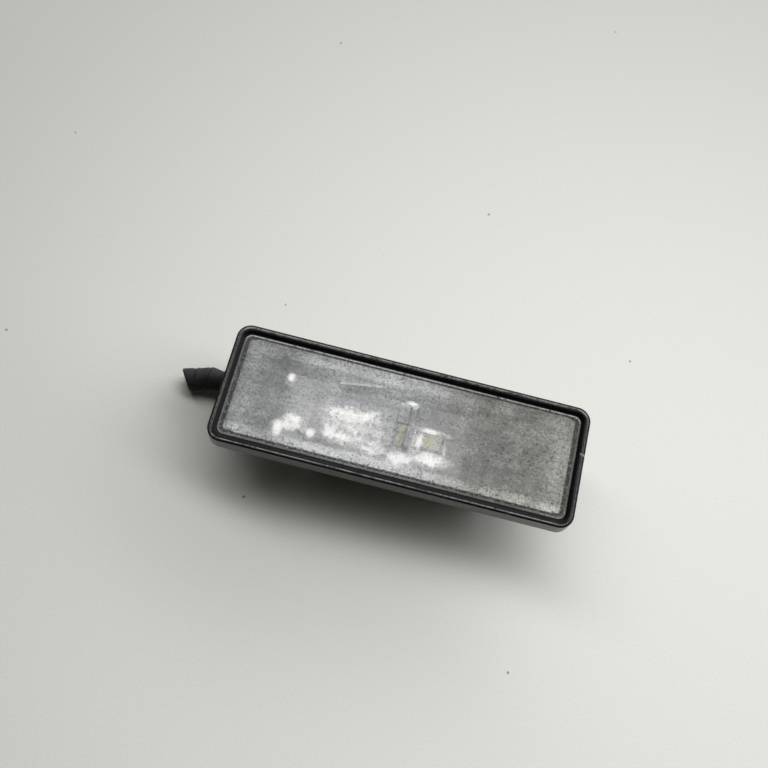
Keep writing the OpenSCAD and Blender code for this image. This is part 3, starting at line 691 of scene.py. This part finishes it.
@dataclass(frozen=True)
class ClothTape:
    """Woven tape, whose threads follow the piece's own UV map, along and round the lead."""

    name: str = "cloth_tape"
    colour: Colour = (0.0115, 0.0115, 0.0113)
    paler_tone: Colour = (0.04, 0.0398, 0.0392)
    # Painted shade along the lap's step.
    lap_shade_colour: Colour = (0.002, 0.002, 0.002)
    pitch: float = TAPE_PITCH
    around: float = math.pi * LEAD_DIAMETER
    thread: float = 0.34
    rough: float = 0.72

    def material(self) -> bpy.types.Material:
        """Builds the finish; the UV map is in millimetres."""
        g = Graph(self.name)
        along, around, _ = g.split(g.uv)
        turn = 2 * math.pi / self.thread
        warp = (along * turn).math("SINE")
        weft = (around * turn).math("SINE")
        weave = (warp * weft) * 0.5 + 0.5
        wind = (along / self.pitch + around / self.around).math("FRACT")
        # Painted shade: the tape is painted darker along the lap's step, where one turn runs over
        # the next.
        fold = wind.ramp(0.1, 0.0).most(wind.ramp(0.9, 1.0) * 0.6)
        fluff = g.noise(3.0, 4.0, 0.7)
        broad = g.noise(0.45, 3.0).ramp(0.36, 0.62)
        tone = (weave * 0.35 + fluff.ramp(0.4, 0.75) * 0.5) * (1 - fold * 0.8) * (0.3 + broad)
        return g.finish(
            Base_Color=g.mix(fold * 0.5, g.mix(tone, self.colour, self.paler_tone), self.lap_shade_colour),
            Roughness=self.rough - weave * 0.12,
            Normal=g.bump(weave + fluff * 0.6, 0.07),
            Specular_IOR_Level=0.25,
        )


class Slot(Enum):
    """Two material slot names, which no piece in this script is given."""

    REFLECTOR = "reflector"
    TAPE = "tape"


def mesh_of(name: str, shape: bmesh.types.BMesh) -> bpy.types.Mesh:
    """Turns a finished bmesh, in metres and in place, into a mesh and frees it."""
    data = bpy.data.meshes.new(name)
    shape.to_mesh(data)
    shape.free()
    return data


def in_scene(name: str, data: bpy.types.ID) -> bpy.types.Object:
    """Makes an object of a mesh, a light or a camera and adds it to the scene."""
    made = bpy.data.objects.new(name, data)
    bpy.context.scene.collection.objects.link(made)
    return made


def add_piece(name: str, shape: bmesh.types.BMesh, material: bpy.types.Material,
              smooth: bool = True) -> bpy.types.Object:
    """Makes an object of a finished bmesh, which rides on the lamp.

    Args:
        name: The piece's name.
        shape: Its shape, in metres and in place; it is freed.
        material: Its finish.
        smooth: Whether its faces are shaded smooth.

    Returns:
        The object.
    """
    for face in shape.faces:
        face.smooth = smooth
    data = mesh_of(name, shape)
    data.materials.append(material)
    piece = in_scene(name, data)
    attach(piece, BODY)
    LOG.info("piece %s: %d faces", name, len(data.polygons))
    return piece


def dress(node: str, material: bpy.types.Material) -> None:
    """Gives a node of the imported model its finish."""
    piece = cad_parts[node]
    piece.data.materials.clear()
    piece.data.materials.append(material)
    LOG.info("node %s: %s", node, material.name)


def middle_of(node: str) -> Vector:
    """The middle of a node's box, in millimetres."""
    low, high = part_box(node)
    return (low + high) / 2 / MM


@dataclass
class Casing:
    """The housing with its lens, and the gasket, clip and vent patch on its outside."""

    rim: RimShape = field(default_factory=RimShape.from_frame)

    def build(self) -> None:
        """Dresses the casing's nodes."""
        dress("housing", BlackMoulding().material(self.rim))
        dress("lens", HazedLens().material(self.rim))
        dress("gasket", PlainFinish(
            "foam_rubber", (0.02, 0.02, 0.021), (0.035, 0.035, 0.036), 0.85,
            grain=0.08, scale=5.0).material())
        dress("spring_clip", PlainFinish(
            "spring_steel", (0.5, 0.5, 0.51), (0.62, 0.63, 0.64), 0.34, 1.0,
            grain=0.006, scale=4.0, stretch=(1.0, 0.08, 1.0)).material())
        dress("vent_membrane", PlainFinish(
            "breathing_film", (0.78, 0.79, 0.79), (0.86, 0.86, 0.86), 0.75,
            grain=0.02, scale=9.0).material())


@dataclass
class Optics:
    """The reflector, the pillow-shaped facets of its left chamber and the main source's collar.

    The facets are columns by rows pillows, pitch apart, each a grid of steps by steps faces. A
    skirt goes down from them and outwards by the spreads. Each of collar_steps is a loop of the
    collar: how much wider than the source it is, and its height.
    """

    columns: int = 6
    rows: int = 4
    pitch: float = 2.5
    steps: int = 8
    crown: float = 0.2
    least_crown: float = 0.4
    tilt: float = 0.08
    tilt_waves: tuple[float, float] = (1.7, 0.9)
    gap_to_source: float = 0.9
    first_row: float = -6.2
    base: float = 11.45
    skirt: float = 0.8
    spread_left: float = 2.4
    spread_right: float = 0.5
    spread_near: float = 0.7
    spread_far: float = 1.4
    collar_steps: tuple[tuple[float, float], ...] = ((1.6, 10.58), (1.1, 10.82), (0.12, 10.36))
    seed: int = 7

    def build(self) -> None:
        """Dresses the reflector and lays the facets and the collar on it."""
        skin = ReflectorSkin().material()
        dress("reflector", skin)
        add_piece("reflector_facets", self.facets(), skin)
        add_piece("source_collar", self.collar(), skin, smooth=False)

    def collar(self) -> bmesh.types.BMesh:
        """A bevelled frame on the reflector's floor round the main light source.

        Returns:
            The frame, in metres and in place.
        """
        low, high = (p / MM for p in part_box("led_main_package"))
        middle, size = (low + high) / 2, high - low
        ring = bmesh.new()
        loops = []
        for over, z in self.collar_steps:
            verts = bmesh.ops.create_grid(ring, x_segments=1, y_segments=1, size=0.5)["verts"]
            faces = list({face for vert in verts for face in vert.link_faces})
            bmesh.ops.delete(ring, geom=faces, context="FACES_ONLY")
            for vert in verts:
                x = middle.x + vert.co.x * (size.x + over)
                y = middle.y + vert.co.y * (size.y + over)
                vert.co = mm(x, y, z)
            loops.append(list({edge for vert in verts for edge in vert.link_edges}))
        for outer, inner in zip(loops, loops[1:]):
            bmesh.ops.bridge_loops(ring, edges=outer + inner)
        bmesh.ops.recalc_face_normals(ring, faces=ring.faces)
        return ring

    def facets(self) -> bmesh.types.BMesh:
        """A sheet of soft pillows that run into each other, with a skirt down to the floor.

        Returns:
            The sheet, in metres and in place.
        """
        random.seed(self.seed)
        source_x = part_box("led_side_package")[0].x / MM
        first_x = source_x - self.gap_to_source - self.columns * self.pitch
        crowns = [[random.uniform(self.least_crown, 1.0) * self.crown for _ in range(self.rows)]
                  for _ in range(self.columns)]
        sheet = bmesh.new()
        bmesh.ops.create_grid(sheet, x_segments=self.columns * self.steps,
                              y_segments=self.rows * self.steps, size=0.5)
        for vert in sheet.verts:
            across, along = (vert.co.x + 0.5) * self.columns, (vert.co.y + 0.5) * self.rows
            vert.co = mm(first_x + across * self.pitch, self.first_row + along * self.pitch,
                         self.height(across, along, crowns))
        rim = [edge for edge in sheet.edges if edge.is_boundary]
        for item in bmesh.ops.extrude_edge_only(sheet, edges=rim)["geom"]:
            if isinstance(item, bmesh.types.BMVert):
                self.spread(item, first_x)
        bmesh.ops.recalc_face_normals(sheet, faces=sheet.faces)
        return sheet

    def height(self, across: float, along: float, crowns: list[list[float]]) -> float:
        """How high the sheet lies.

        Args:
            across: Place along the lamp, counted in pillows.
            along: Place across the lamp, counted in pillows.
            crowns: Each pillow's height, by column and row.

        Returns:
            The height.
        """
        column, row = min(int(across), self.columns - 1), min(int(along), self.rows - 1)
        swell = (math.sin((across - column) * math.pi) * math.sin((along - row) * math.pi)) ** 2
        wave_x, wave_y = self.tilt_waves
        drift = math.sin(across * wave_x + along * wave_y) * self.tilt
        return self.base + crowns[column][row] * swell + drift

    def spread(self, vert: bmesh.types.BMVert, first_x: float) -> None:
        """Lowers a vertex of the skirt and moves it outwards, so that the skirt slopes."""
        last_x = first_x + self.columns * self.pitch
        last_y = self.first_row + self.rows * self.pitch
        near = 0.01
        x, y = vert.co.x / MM, vert.co.y / MM
        x += (x > last_x - near) * self.spread_right - (x < first_x + near) * self.spread_left
        y += (y > last_y - near) * self.spread_far - (y < self.first_row + near) * self.spread_near
        vert.co = mm(x, y, self.base - self.skirt)


@dataclass
class LightSources:
    """The two light-emitting packages and their phosphor, yellow over half sizes of a chip."""

    main_chip: tuple[float, float] = (0.8, 0.75)
    side_chip: tuple[float, float] = (0.6, 2.2)
    yellow: Colour = (0.8, 0.74, 0.3)
    pale: Colour = (0.74, 0.73, 0.63)

    def build(self) -> None:
        """Dresses the packages and the phosphor."""
        white = PlainFinish("white_package", (0.7, 0.7, 0.64), (0.8, 0.8, 0.75), 0.35,
                            grain=0.005).material()
        for source, chip in (("main", self.main_chip), ("side", self.side_chip)):
            dress(f"led_{source}_package", white)
            dress(f"led_{source}_phosphor", self.phosphor(source, chip))

    def phosphor(self, source: str, chip: tuple[float, float]) -> bpy.types.Material:
        """Silicone that is yellow over the chips in its middle and pale round them.

        Args:
            source: Which light source it belongs to.
            chip: Half sizes of the yellow place.

        Returns:
            The material.
        """
        middle = middle_of(f"led_{source}_phosphor")
        g = Graph(f"phosphor_{source}")
        away = (abs(g.x - middle.x) / chip[0]).most(abs(g.y - middle.y) / chip[1])
        blur = g.noise(2.0, 2.0) * 0.2
        tone = g.mix((away + blur).ramp(0.95, 1.25), self.yellow, self.pale)
        return g.finish(Base_Color=tone, Roughness=0.32, Normal=g.bump(g.noise(4.0), 0.01))


@dataclass
class Electrics:
    """The board with its components, pins and solder.

    Metal starts chip_end from a resistor's middle and tab_end from the diode's. The can's dark
    foot lies below its top.
    """

    chip_end: float = 1.1
    tab_end: float = 2.08
    foot: float = -0.8
    black: Colour = (0.02, 0.02, 0.022)
    tin: Colour = (0.66, 0.66, 0.65)

    def build(self) -> None:
        """Dresses the board and what is on it."""
        dress("circuit_board", PlainFinish(
            "solder_mask", (0.72, 0.74, 0.7), (0.8, 0.81, 0.78), 0.45, grain=0.006).material())
        for i in (1, 2, 3):
            self.dress_chip(f"resistor_{i}", f"chip_{i}", self.chip_end)
        self.dress_chip("protection_diode", "diode", self.tab_end)
        top = Vector((0, 0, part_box("capacitor")[1].z / MM))
        dress("capacitor", TwoTone("can", (0.62, 0.63, 0.64), self.black, top, self.foot,
                                   by_height=True).material())
        tinned = PlainFinish("tinned_metal", (0.6, 0.56, 0.44), (0.7, 0.66, 0.55), 0.28, 1.0,
                             grain=0.004).material()
        for node in ("pin_plus", "pin_minus", "contact_plus", "contact_minus"):
            dress(node, tinned)
        solder = PlainFinish("solder", (0.6, 0.61, 0.62), (0.75, 0.75, 0.75), 0.25, 1.0,
                             grain=0.02).material()
        for node in ("solder_plus", "solder_minus"):
            dress(node, solder)

    def dress_chip(self, node: str, name: str, metal_at: float) -> None:
        """Gives a component a black body and tinned ends, metal_at from its middle."""
        dress(node, TwoTone(name, self.black, self.tin, middle_of(node), metal_at).material())


@dataclass
class HarnessPlug:
    """The plug, its seals and its wires."""

    def build(self) -> None:
        """Dresses the plug's nodes."""
        dress("plug_body", PlainFinish(
            "plug_moulding", (0.03, 0.031, 0.033), (0.05, 0.05, 0.052), 0.5,
            grain=0.012, scale=6.0).material())
        dress("plug_seal", PlainFinish(
            "orange_silicone", (0.5, 0.16, 0.06), (0.58, 0.2, 0.08), 0.5).material())
        blue = PlainFinish("blue_silicone", (0.06, 0.2, 0.42), (0.1, 0.27, 0.5), 0.5).material()
        for node in ("wire_seal_plus", "wire_seal_minus"):
            dress(node, blue)
        dress("wire_plus", PlainFinish(
            "red_insulation", (0.38, 0.03, 0.025), (0.45, 0.05, 0.04), 0.42).material())
        dress("wire_minus", PlainFinish(
            "black_insulation", (0.015, 0.015, 0.016), (0.03, 0.03, 0.03), 0.42).material())


@dataclass
class TapedLead:
    """The lead, wound in overlapping cloth tape and cut off at a slant.

    lap is the step from one turn of tape to the next, and lap_front the share of the pitch that
    it takes. Folds stand out in random lumps and in the humps, each a share of the way along,
    an angle in radians and a height. The route starts at the plug's rear. look is the share of
    it that the way ahead is read over, and weld is in metres.
    """

    diameter: float = LEAD_DIAMETER
    pitch: float = TAPE_PITCH
    lap: float = 0.22
    lap_front: float = 0.08
    slant: float = 0.75
    slant_over: float = 3.0
    steps_along: int = 420
    steps_round: int = 72
    path_steps: int = 60
    lumps: int = 14
    lump_heights: tuple[float, float] = (0.1, 0.3)
    lump_length: float = 1.4
    lump_narrowness: float = 2.2
    fade_in: float = 1.5
    cap_inset: float = 0.35
    cap_depth: float = 0.25
    floor_gap: float = 0.02
    look: float = 0.01
    weld: float = 1e-7
    seed: int = 11
    rear: float = -16.6
    humps: tuple[tuple[float, float, float], ...] = (
        (0.85, 2.8, 0.36), (0.8, 2.6, 0.22), (0.955, 2.8, 0.26), (0.93, 6.0, 0.25),
        (0.86, 1.6, 0.25))
    route: tuple[tuple[float, float, float], ...] = (
        (0, 0, 4), (-2, 0, 4), (-4, 0.2, 3.9), (-6, 0.5, 3.7), (-8, 1, 3.4),
        (-10.5, 1.7, 3.1), (-13, 2.4, 2.8), (-15.5, 3.1, 2.6), (-18, 3.7, 2.5), (-20.5, 4.1, 2.4),
        (-23, 4.3, 2.4), (-25, 4.2, 2.4), (-27, 3.9, 2.4), (-29, 3.4, 2.4), (-31.4, 2.7, 2.4),
    )

    def points(self) -> list[Vector]:
        """The route's points in the lamp's frame."""
        return [Vector((self.rear + x, y, z)) for x, y, z in self.route]

    def curve(self, t: float) -> Vector:
        """The point at share t of the route, on a smooth curve through its points."""
        points = self.points()
        last = len(points) - 1
        place = min(max(t, 0.0), 1.0) * last
        i = min(int(place), last - 1)
        u = place - i
        a, b, c, d = (points[min(max(k, 0), last)] for k in (i - 1, i, i + 1, i + 2))
        return 0.5 * (2 * b + (c - a) * u + (2 * a - 5 * b + 4 * c - d) * u * u
                      + (3 * b - a - 3 * c + d) * u ** 3)

    def build(self) -> None:
        tube = add_piece("lead_winding", self.winding(), ClothTape().material())
        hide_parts("taped_lead")
        path = [self.curve(i / self.path_steps) * MM for i in range(self.path_steps + 1)]
        length = sum((b - a).length for a, b in zip(path, path[1:]))
        LOG.info("lead: %.1f mm long", length / MM)

    def winding(self) -> bmesh.types.BMesh:
        """The wound surface: a grid bent into a tube, with a lap that runs round it.

        Returns:
            The closed tube, in metres and in place, with a UV map along and round it.
        """
        random.seed(self.seed)
        lumps = [(random.uniform(0, 1), random.uniform(0, 2 * math.pi),
                  random.uniform(*self.lump_heights)) for _ in range(self.lumps)]
        lumps += self.humps
        tube = bmesh.new()
        layer = tube.loops.layers.uv.new("UVMap")
        bmesh.ops.create_grid(tube, x_segments=self.steps_along, y_segments=self.steps_round,
                              size=0.5)
        length = sum((b - a).length for a, b in zip(self.points(), self.points()[1:]))
        around = math.pi * self.diameter
        for face in tube.faces:
            for loop in face.loops:
                t, s = loop.vert.co.x + 0.5, loop.vert.co.y + 0.5
                loop[layer].uv = (t * length, s * around)
        for vert in tube.verts:
            t, turn = vert.co.x + 0.5, (vert.co.y + 0.5) * 2 * math.pi
            vert.co = self.on_tube(t, turn, length, lumps) * MM
        bmesh.ops.remove_doubles(tube, verts=tube.verts, dist=self.weld)
        ends = [edge for edge in tube.edges if edge.is_boundary]
        caps = bmesh.ops.holes_fill(tube, edges=ends, sides=0)["faces"]
        bmesh.ops.inset_region(tube, faces=caps, thickness=self.cap_inset * MM,
                               depth=-self.cap_depth * MM)
        bmesh.ops.recalc_face_normals(tube, faces=tube.faces)
        return tube

    def on_tube(self, t: float, turn: float, length: float,
                lumps: list[tuple[float, float, float]]) -> Vector:
        """A point of the wound surface.

        Args:
            t: Share of the way along the route.
            turn: Angle round it, in radians.
            length: Length of the route.
            lumps: Where the wires and folds stand out: share, angle and height.

        Returns:
            The point.
        """
        here = self.curve(t)
        ahead = (self.curve(t + self.look) - self.curve(t - self.look)).normalized()
        side = Vector((0, 0, 1)).cross(ahead).normalized()
        up = ahead.cross(side)
        wind = (t * length / self.pitch + turn / (2 * math.pi)) % 1.0
        front = self.lap_front
        lap = self.lap * (1 - wind / front if wind < front else (wind - front) / (1 - front))
        swell = sum(
            height * math.exp(-((t - share) * length / self.lump_length) ** 2
                              - (math.sin((turn - angle) / 2) * self.lump_narrowness) ** 2)
            for share, angle, height in lumps)
        fade = min(1.0, t * length / self.fade_in)
        radius = self.diameter / 2 - self.lap + (lap + swell) * fade
        out = side * math.cos(turn) + up * math.sin(turn)
        to_end = (t * length - length + self.slant_over) / self.slant_over
        point = here + out * radius - ahead * (self.slant * math.cos(turn) * max(0.0, to_end))
        point.z = max(point.z, self.floor_gap)
        return point


@dataclass(frozen=True)
class Panel:
    """A soft rectangular light that faces the lamp.

    It stands at a bearing from +Y and at a height angle, both in degrees. Its distance, width
    and height are in metres and its power in watts.
    """

    name: str
    bearing: float
    height_angle: float
    distance: float
    width: float
    height: float
    power: float

    def build(self) -> None:
        """Adds the light."""
        light = bpy.data.lights.new(self.name, "AREA")
        light.shape = "RECTANGLE"
        light.size, light.size_y = self.width, self.height
        light.energy = self.power
        turn, rise = math.radians(self.bearing), math.radians(self.height_angle)
        at = Vector((math.sin(turn) * math.cos(rise), math.cos(turn) * math.cos(rise),
                     math.sin(rise)))
        lamp = in_scene(self.name, light)
        lamp.location = at * self.distance
        lamp.rotation_euler = (-at).to_track_quat("-Z", "Y").to_euler()


@dataclass
class Studio:
    """The pale floor, the soft lights and the camera at the photograph's viewing angle.

    floor_size and camera_at are in metres and camera_turn in degrees. The floor is painted
    palest at light_centre and darker over fade, down to floor_shade of its tone: a painted
    falloff of the light.
    """

    floor_size: float = 4.0
    floor_colour: Colour = (0.75, 0.755, 0.72)
    floor_shade: float = 0.6
    # Centre of the painted falloff of the light.
    light_centre: tuple[float, float] = (45.0, -35.0)
    fade: tuple[float, float] = (30.0, 240.0)
    crumb_colour: Colour = (0.3, 0.3, 0.28)
    crumb_scale: float = 0.018
    crumb_size: tuple[float, float] = (0.013, 0.009)
    panels: tuple[Panel, ...] = (
        Panel("window", bearing=17, height_angle=61, distance=0.95,
              width=3.0, height=0.3, power=14.2),
        Panel("far_wall", bearing=36, height_angle=17, distance=1.3,
              width=3.8, height=0.65, power=44.0),
    )
    sky: float = 0.036
    sky_colour: Colour = (1.0, 0.95, 0.78)
    camera_at: Vector = field(default_factory=lambda: Vector((-0.00164, -0.07115, 0.20802)))
    camera_turn: tuple[float, float, float] = (21.886, -4.347, 13.578)
    lens: float = 46.875

    def build(self) -> None:
        """Adds the floor, the lights, the world and the camera."""
        self.add_floor()
        for panel in self.panels:
            panel.build()
        self.add_world()
        self.add_camera()
        bpy.context.scene.view_settings.view_transform = "Standard"

    def add_floor(self) -> None:
        """A plain matte sheet under the lamp."""
        sheet = bmesh.new()
        bmesh.ops.create_grid(sheet, x_segments=1, y_segments=1, size=self.floor_size / 2)
        data = mesh_of("floor", sheet)
        data.materials.append(self.paper())
        in_scene("floor", data)

    def paper(self) -> bpy.types.Material:
        """The floor's finish: faintly grained, with a painted falloff of the light that makes it
        darker far away, and a few crumbs.
        """
        g = Graph("floor_paint")
        far = (g.x - self.light_centre[0]).length_with(g.y - self.light_centre[1])
        fine = g.noise(1.4, 4.0, 0.7)
        grain = (g.noise(3.0, 3.0, 0.8) - 0.45) * 0.8
        # Painted falloff of the light: the tone darkens away from light_centre.
        tone = far.ramp(*self.fade) + fine.ramp(0.6, 0.75) * 0.04 + grain
        darker = tuple(c * self.floor_shade for c in self.floor_colour)
        points = g.node("ShaderNodeTexVoronoi", {"voronoi_dimensions": "2D"},
                        {"Vector": g.place, "Scale": self.crumb_scale})
        crumb = Value(g, points.outputs["Distance"]) + g.noise(1.5, 2.0) * 0.012
        return g.finish(
            Base_Color=g.mix(crumb.ramp(*self.crumb_size),
                             g.mix(tone, self.floor_colour, darker), self.crumb_colour),
            Roughness=0.75 + fine * 0.1,
            Normal=g.bump(fine, 0.02),
            Specular_IOR_Level=0.3,
        )

    def add_world(self) -> None:
        """A dim, even sky."""
        world = bpy.data.worlds.new("sky")
        bpy.context.scene.world = world
        world.use_nodes = True
        background = world.node_tree.nodes["Background"]
        background.inputs["Color"].default_value = (*self.sky_colour, 1.0)
        background.inputs["Strength"].default_value = self.sky

    def add_camera(self) -> None:
        """The camera, fitted to the frame's four corners in the photograph."""
        data = bpy.data.cameras.new("camera")
        data.lens = self.lens
        data.sensor_width = 36.0
        data.clip_start = 0.01
        camera = in_scene("camera", data)
        camera.location = self.camera_at
        camera.rotation_euler = Euler([math.radians(a) for a in self.camera_turn], "XYZ")
        bpy.context.scene.camera = camera


def main() -> None:
    """Builds the studio and the lamp's sub-assemblies in order."""
    logging.basicConfig(level=logging.INFO, format="%(name)s: %(message)s")
    for part in (Studio(), TapedLead(), Casing(), Optics(), LightSources(), Electrics(),
                 HarnessPlug()):
        LOG.info("sub-assembly %s", type(part).__name__)
        part.build()


if __name__ == "__main__":
    main()
